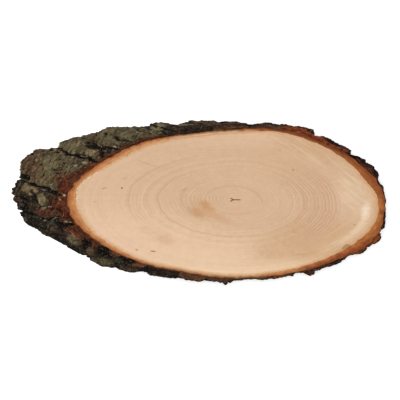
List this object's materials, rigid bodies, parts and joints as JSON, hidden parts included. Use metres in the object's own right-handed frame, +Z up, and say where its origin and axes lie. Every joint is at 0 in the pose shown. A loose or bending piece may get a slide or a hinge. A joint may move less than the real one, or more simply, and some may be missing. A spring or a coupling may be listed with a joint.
{
  "type": "wood slice",
  "caption": "Long oval slice of a log, sawn flat on both faces at a slant, with rough bark left on all the way round its sloping edge.",
  "frame": {"origin": "middle of the slice's box, on the surface it lies on", "axes": "+X along the slice's long side, towards the end where the bark is undercut, +Y across the slice, +Z up out of the sawn top face"},
  "size_m": [0.2991, 0.1298, 0.018],
  "materials": {
    "wood": "pale sawn wood, unsealed, with faint oval growth rings",
    "bark": "rough dark bark with grey-green plates, orange inner bark on the cut"
  },
  "bodies": {
    "root": {"wood": "wood", "bark": "bark"}
  },
  "joints": []
}
